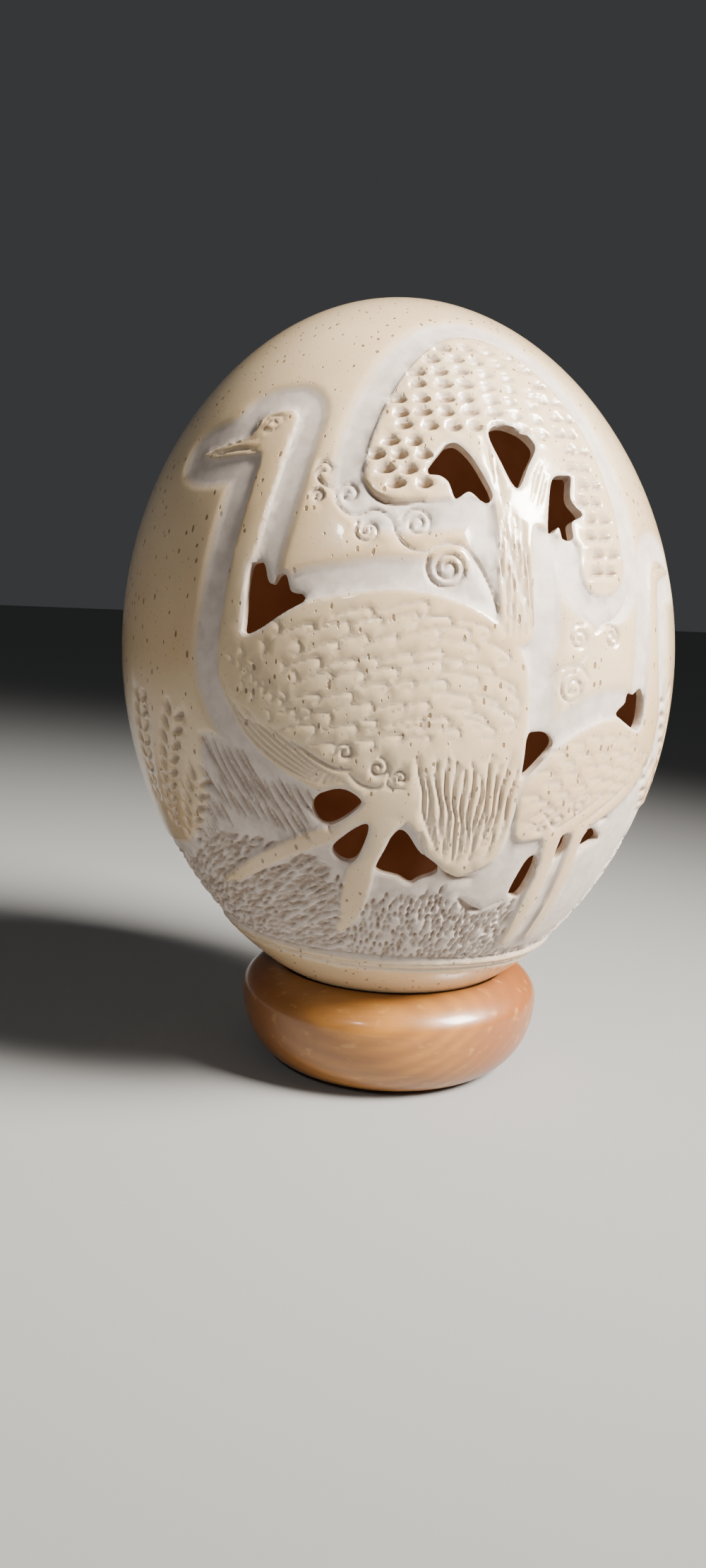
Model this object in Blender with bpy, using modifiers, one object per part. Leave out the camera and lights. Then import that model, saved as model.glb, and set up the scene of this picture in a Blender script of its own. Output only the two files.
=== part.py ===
"""A carved, hollow ostrich egg that rests in a turned wooden ring.

Metres, +Z up. The origin is on the table, under the middle of the egg.
The carved front faces -Y. The shell is one hollow solid with the pierced
holes that open it; the fine relief belongs to its finish, not to this solid.
"""

import math

import bmesh
import bpy
from mathutils import Matrix, Vector

MM = 0.001

# Egg, in millimetres
EGG_WIDTH = 126.0
EGG_LENGTH = 160.0
BLUNT_END_SWELL = 0.014
END_SLIMNESS = 0.046
WALL = 2.2
EGG_SEGMENTS = 56
EGG_RINGS = 26

# Ring, in millimetres
RING_WIDTH = 71.0
RING_HEIGHT = 24.0
BULGE_HEIGHT = 16.5
FOOT_RADIUS = 23.5
BORE_RADIUS = 19.5
FOOT_CHAMFER = 1.0
LIP_RADIUS = 27.0
LIP_ROUND = 0.8
RING_SEGMENTS = 48

# How the egg sits in the ring
SEAT_GAP = 0.3
EGG_BOTTOM_HEIGHT = 15.2
EGG_LEAN_DEG = 2.9
BALL_CENTRE_HEIGHT = 64.7

CUTTER_DEPTH = 7.0

# Pierced holes, as (degrees round the egg from the front, millimetres up it)
HOLES = {
    "neck_gap": [
        (-26.5, 101), (-25, 102.5), (-23.5, 102), (-22.5, 99), (-21.5, 98.5), (-20.5, 100), (-19, 100),
        (-18, 97), (-16, 96.5), (-15.5, 95), (-19, 93), (-24.5, 89.5), (-27, 89.5), (-27, 92),
    ],
    "tree_left": [
        (7, 119), (10, 122.5), (11.5, 123.5), (13.5, 123.5), (16, 121), (18, 117), (19, 114),
        (18, 112.5), (16.5, 113), (14.5, 114.5), (12.5, 113.5), (11.5, 113.5), (10.5, 116.5), (8, 118),
    ],
    "tree_middle": [
        (20.5, 125), (22, 127), (25, 127.5), (28.5, 126.5), (30.5, 125), (31, 123), (28, 119.5),
        (25, 115.5), (23.5, 116), (22, 120),
    ],
    "tree_right": [
        (29.5, 108), (30.5, 107), (32, 108), (32.5, 106), (35, 106), (35.5, 109), (38.5, 110.5),
        (36.5, 113.5), (38, 117.5), (36.5, 118), (33.5, 117.5), (31.5, 114.5),
    ],
    "rump_gap": [(23.5, 62), (24.5, 61.5), (28, 65), (29.5, 67.5), (28, 69.5), (25.5, 70), (24, 69)],
    "second_neck_gap": [
        (45, 72), (47.5, 74), (48, 76), (50, 75.5), (52.5, 76.5), (54, 74.5), (54, 70), (52.5, 68),
        (48.5, 69.5),
    ],
    "belly_gap": [
        (-15.5, 56), (-14, 58.5), (-10.5, 60), (-8, 59.5), (-6, 57.5), (-8, 55), (-12, 52.5), (-14.5, 53),
    ],
    "between_legs": [(-12.5, 47.5), (-9, 51), (-5.5, 53), (-5, 51.5), (-7, 46.5), (-9, 44.5), (-11.5, 45)],
    "under_tail": [
        (-4, 43.5), (-2, 47.5), (-0.5, 50.5), (1, 51.5), (2.5, 50.5), (5, 46.5), (8, 44.5), (8.5, 42),
        (5, 40.5), (3, 39.5), (0.5, 41), (-3, 42),
    ],
    "second_leg_left": [(26.5, 36), (28, 42), (29.5, 44), (31, 43.5), (31.5, 41), (30.5, 36), (29, 34.5)],
    "second_leg_middle": [(35.5, 43), (35.5, 47), (36.5, 48), (38, 47.5), (38.5, 45), (37, 42.5)],
    "second_leg_right": [(42.5, 43), (42.5, 47), (45, 48), (47.5, 47), (49.5, 45), (45.5, 43.5)],
    # Round the back, where a third bird and a second tree go on with the frieze
    "back_neck_gap": [(152, 99), (154, 102), (157, 98.5), (162, 95.5), (158, 91.5), (153, 90)],
    "back_tree_left": [(193, 117), (196, 122), (201, 123), (205, 115), (201, 113), (197, 114)],
    "back_tree_right": [(208, 125), (214, 126), (218, 122), (212, 115), (210, 119)],
    "back_rump_gap": [(203, 62), (203, 69), (206, 70), (209, 67), (205, 61)],
    "back_belly_gap": [(164, 56), (168, 60), (173, 58), (167, 52.5)],
    "back_under_tail": [(175, 43), (179, 51), (182, 51), (188, 44), (187, 41.5), (181, 40)],
}


def smoothed_shape(u):
    """The egg's half-width before it is scaled; u runs from -1 at its foot to 1 at its crown."""
    return math.sqrt(max(0.0, 1 - u * u)) * (1 + BLUNT_END_SWELL * u - END_SLIMNESS * u * u)


WIDEST = max(smoothed_shape(step / 500 - 1) for step in range(1001))


def egg_radius(height):
    return EGG_WIDTH / 2 * smoothed_shape(2 * height / EGG_LENGTH - 1) / WIDEST


def on_egg(degrees, height):
    angle = math.radians(degrees)
    radius = egg_radius(height)
    return Vector((radius * math.sin(angle), -radius * math.cos(angle), height)) * MM


def outward(degrees, height):
    step = 0.05
    angle = math.radians(degrees)
    slope = (egg_radius(height + step) - egg_radius(height - step)) / (2 * step)
    return Vector((math.sin(angle), -math.cos(angle), -slope)).normalized()


def lean_matrix():
    """Turns the upright egg to its lean, about the centre of the ball that its lower end follows."""
    ball = Matrix.Translation((0, 0, BALL_CENTRE_HEIGHT * MM))
    lift = Matrix.Translation((0, 0, EGG_BOTTOM_HEIGHT * MM))
    return ball @ Matrix.Rotation(math.radians(-EGG_LEAN_DEG), 4, "Y") @ ball.inverted() @ lift


def ring_axis_x():
    """How far the ring stands to the side, so that the egg's middle is over the origin."""
    arm = EGG_BOTTOM_HEIGHT + EGG_LENGTH / 2 - BALL_CENTRE_HEIGHT
    return arm * math.sin(math.radians(EGG_LEAN_DEG))


def clear_scene():
    for thing in list(bpy.data.objects):
        bpy.data.objects.remove(thing, do_unlink=True)


def new_collection(name):
    collection = bpy.data.collections.new(name)
    bpy.context.scene.collection.children.link(collection)
    return collection


def plain_material(name, colour, roughness):
    material = bpy.data.materials.new(name)
    material.use_nodes = True
    shader = material.node_tree.nodes["Principled BSDF"]
    shader.inputs["Base Color"].default_value = (*colour, 1)
    shader.inputs["Roughness"].default_value = roughness
    shader.inputs["Metallic"].default_value = 0
    return material


def turned(name, profile, segments, collection, closed):
    """Spins a profile of (radius, height) points, in millimetres, round Z."""
    mesh = bpy.data.meshes.new(name)
    edges = [(i, i + 1) for i in range(len(profile) - 1)]
    if closed:
        edges.append((len(profile) - 1, 0))
    mesh.from_pydata([(radius * MM, 0, height * MM) for radius, height in profile], edges, [])
    thing = bpy.data.objects.new(name, mesh)
    collection.objects.link(thing)
    screw = thing.modifiers.new("turn", "SCREW")
    screw.steps = screw.render_steps = segments
    screw.use_merge_vertices = True
    screw.merge_threshold = 0.00001
    screw.use_smooth_shade = True
    return thing


def egg_profile():
    """From the crown down to the foot, with the points evenly spread round the curve."""
    points = [(0.0, EGG_LENGTH)]
    for step in range(1, EGG_RINGS):
        height = EGG_LENGTH / 2 * (1 + math.cos(math.pi * step / EGG_RINGS))
        points.append((egg_radius(height), height))
    points.append((0.0, 0.0))
    return points


def quarter_arc(centre, across, up, start, end, steps):
    """Points of an elliptical arc, its angles in degrees from the outward horizontal."""
    points = []
    for step in range(steps + 1):
        angle = math.radians(start + (end - start) * step / steps)
        points.append((centre[0] + across * math.cos(angle), centre[1] + up * math.sin(angle)))
    return points


def seat_points(inner, outer, steps):
    """The dish that the egg sits in, from the lip inwards, one seat gap below the shell."""
    points = []
    for step in range(steps + 1):
        radius = outer + (inner - outer) * step / steps
        ball = BALL_CENTRE_HEIGHT - EGG_BOTTOM_HEIGHT
        low, high = 0.0, EGG_LENGTH / 3
        for _ in range(40):
            height = (low + high) / 2
            if egg_radius(height) < radius:
                low = height
            else:
                high = height
        shell = Vector((radius, height - ball))
        shell *= 1 + SEAT_GAP / shell.length
        points.append((shell.x, shell.y + ball + EGG_BOTTOM_HEIGHT))
    return points


def ring_profile():
    bulge = RING_WIDTH / 2 - FOOT_RADIUS
    upper = quarter_arc(
        (FOOT_RADIUS, BULGE_HEIGHT), bulge, RING_HEIGHT - BULGE_HEIGHT, 66, 0, 7
    )
    lower = quarter_arc((FOOT_RADIUS, BULGE_HEIGHT), bulge, BULGE_HEIGHT, -9, -90, 10)
    bore = [
        (BORE_RADIUS + FOOT_CHAMFER, 0.0),
        (BORE_RADIUS, FOOT_CHAMFER),
    ]
    seat = seat_points(BORE_RADIUS, LIP_RADIUS, 6)
    lip = [(LIP_RADIUS + LIP_ROUND, seat[0][1] + 0.25 * LIP_ROUND)]
    return lip + upper[1:] + lower + bore + seat[::-1]


def hole_cutter(name, outline, collection):
    """A straight plug through the shell, in the shape of the outline, square to the surface."""
    middle_lon = sum(point[0] for point in outline) / len(outline)
    middle_height = sum(point[1] for point in outline) / len(outline)
    centre = on_egg(middle_lon, middle_height)
    normal = outward(middle_lon, middle_height)
    right = Vector((math.cos(math.radians(middle_lon)), math.sin(math.radians(middle_lon)), 0))
    up = normal.cross(right)
    flat = bpy.data.curves.new(name, "CURVE")
    flat.dimensions = "2D"
    flat.fill_mode = "BOTH"
    flat.extrude = CUTTER_DEPTH / 2 * MM
    spline = flat.splines.new("POLY")
    spline.points.add(len(outline) - 1)
    spline.use_cyclic_u = True
    for point, place in zip(spline.points, outline):
        offset = on_egg(*place) - centre
        point.co = (offset.dot(right), offset.dot(up), 0, 1)
    guide = bpy.data.objects.new(name + "_guide", flat)
    collection.objects.link(guide)
    guide.matrix_world = Matrix.Translation(centre) @ Matrix((right, up, normal)).transposed().to_4x4()
    bpy.context.view_layer.update()
    graph = bpy.context.evaluated_depsgraph_get()
    mesh = bpy.data.meshes.new_from_object(guide.evaluated_get(graph))
    cutter = bpy.data.objects.new(name, mesh)
    cutter.matrix_world = guide.matrix_world
    collection.objects.link(cutter)
    bpy.data.objects.remove(guide, do_unlink=True)
    weld_and_face_out(mesh)
    cutter.hide_render = True
    cutter.display_type = "WIRE"
    return cutter


def weld_and_face_out(mesh):
    work = bmesh.new()
    work.from_mesh(mesh)
    bmesh.ops.remove_doubles(work, verts=work.verts, dist=0.00001)
    bmesh.ops.recalc_face_normals(work, faces=work.faces)
    work.to_mesh(mesh)
    work.free()


def make_eggshell(parts, cutters):
    shell = turned("eggshell", egg_profile(), EGG_SEGMENTS, parts, closed=False)
    wall = shell.modifiers.new("wall", "SOLIDIFY")
    wall.thickness = WALL * MM
    wall.offset = -1
    for name, outline in HOLES.items():
        hole_cutter("hole_" + name, outline, cutters)
    pierce = shell.modifiers.new("pierce", "BOOLEAN")
    pierce.operation = "DIFFERENCE"
    pierce.solver = "EXACT"
    pierce.operand_type = "COLLECTION"
    pierce.collection = cutters
    shell.data.materials.append(plain_material("shell_cream", (0.72, 0.6, 0.44), 0.35))
    return shell


def make_ring_stand(parts):
    ring = turned("ring_stand", ring_profile(), RING_SEGMENTS, parts, closed=True)
    ring.data.materials.append(plain_material("varnished_wood", (0.5, 0.24, 0.08), 0.3))
    return ring


def main():
    clear_scene()
    parts = new_collection("carved_ostrich_egg")
    cutters = new_collection("hole_cutters")
    shell = make_eggshell(parts, cutters)
    ring = make_ring_stand(parts)
    placing = Matrix.Translation((ring_axis_x() * MM, 0, 0))
    ring.matrix_world = placing
    shell.matrix_world = placing @ lean_matrix()
    for cutter in cutters.objects:
        cutter.matrix_world = shell.matrix_world @ cutter.matrix_world


main()
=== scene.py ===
"""The looks of a carved ostrich egg in its turned wooden ring.

The relief is worked out on a sheet unrolled from the shell: degrees round the egg from
the front, and millimetres up it. The sheet is then wrapped back on to a smooth egg.
"""

import math
import random

import bpy
import numpy as np
from mathutils import Matrix, Vector

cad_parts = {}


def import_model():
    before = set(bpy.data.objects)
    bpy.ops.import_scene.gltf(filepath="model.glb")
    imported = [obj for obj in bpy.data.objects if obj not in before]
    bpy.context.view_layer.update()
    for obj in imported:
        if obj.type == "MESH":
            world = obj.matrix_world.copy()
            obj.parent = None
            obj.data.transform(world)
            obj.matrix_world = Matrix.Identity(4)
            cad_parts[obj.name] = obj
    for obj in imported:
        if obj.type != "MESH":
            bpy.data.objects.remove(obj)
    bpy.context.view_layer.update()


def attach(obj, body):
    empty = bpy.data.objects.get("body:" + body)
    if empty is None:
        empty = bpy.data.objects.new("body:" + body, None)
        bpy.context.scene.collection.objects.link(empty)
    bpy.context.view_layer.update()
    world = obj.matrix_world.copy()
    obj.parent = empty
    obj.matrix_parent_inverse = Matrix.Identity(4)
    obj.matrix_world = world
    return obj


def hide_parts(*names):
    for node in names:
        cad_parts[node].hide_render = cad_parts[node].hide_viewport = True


MM = 0.001

# The egg, in millimetres, as the frame has it
EGG_WIDTH = 126.0
EGG_LENGTH = 160.0
BLUNT_END_SWELL = 0.014
END_SLIMNESS = 0.046
WALL = 2.2
EGG_BOTTOM_HEIGHT = 15.2
EGG_LEAN_DEG = 2.9
BALL_CENTRE_HEIGHT = 64.7
SKIN = 0.05
PLUG_DEPTH = WALL + 1.8
PLUG_LENGTH = WALL + 6
EDGE_MARGIN = 0.35

# The ring, in millimetres
RING_WIDTH = 71.0
RING_HEIGHT = 24.0
BULGE_HEIGHT = 16.5
FOOT_RADIUS = 23.5
BORE_RADIUS = 19.5
LIP_RADIUS = 27.0
SEAT_GAP = 0.3
RING_TURNS = 160

# How finely the shell is cut
SHELL_SEGMENTS, SHELL_RINGS = 230, 132
CORE_SEGMENTS, CORE_RINGS = 128, 80
MOST_TRIANGLES = 194000

# The unrolled sheet
SHEET_COLUMNS = 2400
SHEET_ROWS = 1400
COLUMN_DEG = 360 / SHEET_COLUMNS

# Depths of the carving, in millimetres
GROUND_DEPTH = 0.6
TURF_DEPTH = 0.6
BAND_WIDTH = 4.4
BAND_FADE = 3.2
CLIFF = 0.55
EDGE_ROUNDING = 0.14
RIM_ROUNDING = 0.3

# The lines round the foot: their height and how far they tilt, as cut by hand
BASE_LINE_HEIGHT = 19.6
BASE_LINE_TILT = 3.2

# A feather's edge, and how the feathers and the tail are laid
FEATHER = [(-6.6, 0.1), (-3.4, 0.3), (0, 0), (0.85, -0.6), (0.75, -1.6), (-0.2, -2.3), (-1.2, -2.5)]
FEATHER_PITCH_DEG = 5.5
FEATHER_ROW_MM = 3.05
TAIL_MIDDLE_DEG = 13

# How the leaf chips and the turf marks are laid, in millimetres
LEAF_PITCH = 4.6
LEAF_ROW = 2.75
TURF_PITCH = 1.25
TURF_ROW = 1.55
TURF_MARK_WIDTH = 1.045

# Where each kind of face lies up the bake sheet: outside, cut edge and inside
BAKE_SHELVES = np.array([(0.29, 0.7), (0.145, 0.135), (0.005, 0.13)])

# The camera, in metres and radians, turned from looking along +Y
CAMERA_BACK = -0.2771
CAMERA_HEIGHT = 0.1122
CAMERA_YAW = 0.0381
CAMERA_PITCH = -0.1656
CAMERA_ROLL = -0.0377

BACK_BIRD_TURN = 179.5
BACK_TREE_TURN = 186.0

HOLES = {
    "neck_gap": [
        (-26.5, 101), (-25, 102.5), (-23.5, 102), (-22.5, 99), (-21.5, 98.5), (-20.5, 100), (-19, 100),
        (-18, 97), (-16, 96.5), (-15.5, 95), (-19, 93), (-24.5, 89.5), (-27, 89.5), (-27, 92),
    ],
    "tree_left": [
        (7, 119), (10, 122.5), (11.5, 123.5), (13.5, 123.5), (16, 121), (18, 117), (19, 114),
        (18, 112.5), (16.5, 113), (14.5, 114.5), (12.5, 113.5), (11.5, 113.5), (10.5, 116.5), (8, 118),
    ],
    "tree_middle": [
        (20.5, 125), (22, 127), (25, 127.5), (28.5, 126.5), (30.5, 125), (31, 123), (28, 119.5),
        (25, 115.5), (23.5, 116), (22, 120),
    ],
    "tree_right": [
        (29.5, 108), (30.5, 107), (32, 108), (32.5, 106), (35, 106), (35.5, 109), (38.5, 110.5),
        (36.5, 113.5), (38, 117.5), (36.5, 118), (33.5, 117.5), (31.5, 114.5),
    ],
    "rump_gap": [(23.5, 62), (24.5, 61.5), (28, 65), (29.5, 67.5), (28, 69.5), (25.5, 70), (24, 69)],
    "second_neck_gap": [
        (45, 72), (47.5, 74), (48, 76), (50, 75.5), (52.5, 76.5), (54, 74.5), (54, 70), (52.5, 68),
        (48.5, 69.5),
    ],
    "belly_gap": [
        (-15.5, 56), (-14, 58.5), (-10.5, 60), (-8, 59.5), (-6, 57.5), (-8, 55), (-12, 52.5), (-14.5, 53),
    ],
    "between_legs": [(-12.5, 47.5), (-9, 51), (-5.5, 53), (-5, 51.5), (-7, 46.5), (-9, 44.5), (-11.5, 45)],
    "under_tail": [
        (-4, 43.5), (-2, 47.5), (-0.5, 50.5), (1, 51.5), (2.5, 50.5), (5, 46.5), (8, 44.5), (8.5, 42),
        (5, 40.5), (3, 39.5), (0.5, 41), (-3, 42),
    ],
    "second_leg_left": [(26.5, 36), (28, 42), (29.5, 44), (31, 43.5), (31.5, 41), (30.5, 36), (29, 34.5)],
    "second_leg_middle": [(35.5, 43), (35.5, 47), (36.5, 48), (38, 47.5), (38.5, 45), (37, 42.5)],
    "second_leg_right": [(42.5, 43), (42.5, 47), (45, 48), (47.5, 47), (49.5, 45), (45.5, 43.5)],
    "back_neck_gap": [(152, 99), (154, 102), (157, 98.5), (162, 95.5), (158, 91.5), (153, 90)],
    "back_tree_left": [(193, 117), (196, 122), (201, 123), (205, 115), (201, 113), (197, 114)],
    "back_tree_right": [(208, 125), (214, 126), (218, 122), (212, 115), (210, 119)],
    "back_rump_gap": [(203, 62), (203, 69), (206, 70), (209, 67), (205, 61)],
    "back_belly_gap": [(164, 56), (168, 60), (173, 58), (167, 52.5)],
    "back_under_tail": [(175, 43), (179, 51), (182, 51), (188, 44), (187, 41.5), (181, 40)],
}

BIRD = [
    (-46, 123.9), (-42, 124.8), (-38, 125.6), (-34, 126.2), (-32.3, 127), (-32, 129), (-30.5, 130.3),
    (-28, 131), (-25, 131.2), (-23, 130.8), (-21.8, 129.2), (-22.2, 126), (-23, 119), (-24.3, 111),
    (-25.5, 104), (-26.6, 97), (-27, 89.8), (-24.5, 89.6), (-19, 92.8), (-15.5, 94.8), (-10, 95.8),
    (-4, 96.6), (1, 96.8), (6, 96.1), (11, 94.6), (15, 92.7), (18.5, 90), (21.2, 86.7), (22.9, 83),
    (23.6, 78), (23.5, 70), (23.2, 62), (22.4, 53), (21.3, 46.5), (19.5, 43.6), (16.5, 42), (13, 41.3),
    (10.5, 42), (8, 44.3), (5.5, 48), (4, 51.5), (1, 54), (-3, 54.5), (-6, 57.5), (-9, 59.8),
    (-13.5, 59.5), (-17, 61.4), (-20.5, 63.6), (-24, 66.6), (-27, 70), (-29.3, 74), (-31.2, 78),
    (-32.2, 82), (-32.2, 87), (-31.5, 92), (-30.9, 98), (-30.2, 104), (-29.2, 111), (-28.3, 118),
    (-28, 122.3), (-29, 122.9), (-33, 122.9), (-38, 122.9), (-42, 122.9),
]
STRIDING_LEG = [
    (-3, 58), (-6.5, 57), (-10, 54.2), (-12.5, 52.4), (-17, 50.7), (-22, 48.5), (-27, 46.2), (-32, 43.6),
    (-37, 40.9), (-41, 39), (-43.5, 37.4), (-41, 37.2), (-38, 38), (-35, 39.2), (-30, 41.6), (-25, 43.8),
    (-20, 46), (-16, 47.6), (-12.5, 48.9), (-9, 51), (-5.5, 53), (-1, 53),
]
STANDING_LEG = [
    (1.5, 54), (0, 51.5), (-1.8, 48.3), (-3.7, 44.8), (-4.8, 42), (-6, 38), (-7.8, 34), (-10.5, 30.5),
    (-14.5, 27.5), (-15, 28.5), (-13.5, 32), (-12.3, 36), (-11, 40), (-9.5, 43.6), (-8.2, 45.3), (-7, 47),
    (-5.6, 50), (-5, 53), (-6, 56),
]
TREE = [
    (-5.2, 116.8), (-5, 119), (-4.6, 122), (-3.8, 125), (-2.6, 128), (-1.2, 131), (0.8, 134), (3.2, 137),
    (6, 139.6), (9.5, 142), (13.5, 144), (19, 145.6), (26, 146), (33, 145), (39, 142.5), (43.5, 138.5),
    (46.5, 133), (48, 127), (48.6, 120), (48.5, 112), (48, 105), (47, 99), (44, 96), (40, 95.3),
    (37, 96.5), (36, 99.5), (36.3, 104), (35, 106), (32.5, 106), (30.5, 107), (28.5, 108), (26.5, 108),
    (25.5, 104), (25, 98), (24.7, 92), (24, 87.5), (20, 86), (18.5, 91), (18.6, 97), (19.2, 104),
    (19.4, 109), (19.2, 112.5), (18, 112.5), (14.5, 114), (12.5, 113.5), (9, 113.2), (5, 113),
    (1.5, 112.8), (-1.5, 113.3), (-3.8, 114.8),
]
SECOND_BIRD = [
    (24, 61.8), (26.5, 63.8), (29.5, 66), (33, 68.2), (37, 70), (41, 70.9), (45, 71), (48.5, 69.6),
    (52.5, 68.2), (54.2, 70), (54.4, 78), (55, 85), (56, 92), (57.5, 98), (60, 101.3), (64, 102),
    (69, 100.7), (73, 99.6), (69, 99.2), (64, 98.6), (61, 97), (59.7, 92), (59.2, 85), (59.8, 78),
    (61.8, 72), (62.3, 66), (60.8, 60), (57, 55.7), (52, 52.5), (47, 50.5), (42, 48.7), (38, 48.3),
    (33, 48.5), (28.5, 48), (24.5, 48.5), (23.5, 53), (23.5, 58),
]
SECOND_BIRD_LEGS = [
    [
        (31, 50), (31.6, 44), (31.2, 38), (31, 30), (31, 23), (34.5, 23), (35, 30), (35.2, 38),
        (35.4, 44), (35.5, 50),
    ],
    [
        (38.5, 50), (38.8, 44), (39, 36), (39.3, 28), (39.5, 23), (43, 23), (43, 30), (42.6, 38),
        (42.4, 44), (42.3, 50),
    ],
]

# The top of the carved turf, all round the egg
TURF_LINE = [
    (-180, 52), (-160, 50), (-140, 44), (-110, 47), (-75, 43), (-62, 43), (-52, 45), (-47, 48), (-43, 51),
    (-40, 56), (-39, 62), (-38, 70), (-35, 70), (-30, 69), (-24, 66), (-12, 60), (22, 60), (27, 62),
    (60, 58), (66, 50), (90, 46), (115, 46), (136, 52), (142, 68), (150, 68), (160, 60), (180, 52),
]

# The top of the short tool marks within it
TURF_MARKS = [
    (-180, 37), (-150, 34), (-145, 44), (-100, 44), (-55, 40), (-45, 46), (-38, 49), (-30, 50), (-22, 50),
    (-14, 42), (-8, 37), (4, 37), (10, 38), (14, 34), (22, 31), (29, 34), (31.5, 20), (50, 20), (62, 24),
    (66, 42), (110, 43), (140, 45), (165, 42), (170, 37), (180, 37),
]


# ---------------------------------------------------------------- the egg's shape


def plain_half_width(u):
    """The egg's half-width before it is scaled; u runs from -1 at its foot to 1 at its crown."""
    return np.sqrt(np.clip(1 - u * u, 0, None)) * (1 + BLUNT_END_SWELL * u - END_SLIMNESS * u * u)


WIDEST = plain_half_width(np.linspace(-1, 1, 2001)).max()


def egg_radius(height):
    return EGG_WIDTH / 2 * plain_half_width(2 * np.asarray(height, float) / EGG_LENGTH - 1) / WIDEST


# Distance along the shell from its foot, against height
TABLE_TURN = np.linspace(0, math.pi, 4001)
TABLE_HEIGHT = EGG_LENGTH / 2 * (1 - np.cos(TABLE_TURN))
TABLE_RADIUS = egg_radius(TABLE_HEIGHT)
TABLE_ALONG = np.concatenate([[0], np.cumsum(np.hypot(np.diff(TABLE_HEIGHT), np.diff(TABLE_RADIUS)))])
WHOLE_ALONG = TABLE_ALONG[-1]
ROW_MM = WHOLE_ALONG / SHEET_ROWS
ROW_ALONG = (np.arange(SHEET_ROWS) + 0.5) * ROW_MM
ROW_HEIGHT = np.interp(ROW_ALONG, TABLE_ALONG, TABLE_HEIGHT)
ROW_RADIUS = egg_radius(ROW_HEIGHT)
ROW_MM_PER_DEG = np.radians(ROW_RADIUS)


def along(height):
    return np.interp(height, TABLE_HEIGHT, TABLE_ALONG)


def smooth_step(value, low, high):
    t = np.clip((value - low) / (high - low), 0, 1)
    return t * t * (3 - 2 * t)


# ---------------------------------------------------------------- paths on the sheet


def on_sheet(points, turn=0.0, flip=False):
    """Points (degrees, height) as (degrees, distance along), turned round the egg."""
    points = np.array(points, float)
    degrees = -points[:, 0] if flip else points[:, 0]
    return np.column_stack([degrees + turn, along(points[:, 1])])


def smooth_path(points, closed=False, steps=5):
    """A Catmull-Rom curve through the points."""
    points = np.asarray(points, float)
    if closed:
        loop = np.vstack([points[-1], points, points[0], points[1]])
    else:
        loop = np.vstack([2 * points[0] - points[1], points, 2 * points[-1] - points[-2]])
    share = np.linspace(0, 1, steps, endpoint=False)[:, None]
    spans = []
    for before, start, end, after in zip(loop[:-3], loop[1:-2], loop[2:-1], loop[3:]):
        spans.append(
            start
            + 0.5 * share * (end - before)
            + share**2 * (before - 2.5 * start + 2 * end - 0.5 * after)
            + share**3 * (-0.5 * before + 1.5 * start - 1.5 * end + 0.5 * after)
        )
    last = loop[1] if closed else points[-1]
    return np.vstack(spans + [last[None]])


def near(degrees, height, offsets, turn=0.0, flip=False):
    """Points given in millimetres right and up from a place on the shell."""
    middle = on_sheet([(degrees, height)], turn, flip)[0]
    per_degree = math.radians(float(egg_radius(height)))
    offsets = np.asarray(offsets, float)
    side = -1 if flip else 1
    return np.column_stack([middle[0] + side * offsets[:, 0] / per_degree, middle[1] + offsets[:, 1]])


def spiral(radius, turns, start_deg, handed, inner=0.18):
    """Offsets of a spiral that winds in from its rim."""
    share = np.linspace(0, 1, int(16 * turns) + 1)
    angle = math.radians(start_deg) + handed * 2 * math.pi * turns * share
    reach = radius * (1 - (1 - inner) * share**0.85)
    return np.column_stack([reach * np.cos(angle), reach * np.sin(angle)])


# ---------------------------------------------------------------- the sheet and its tools


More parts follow.
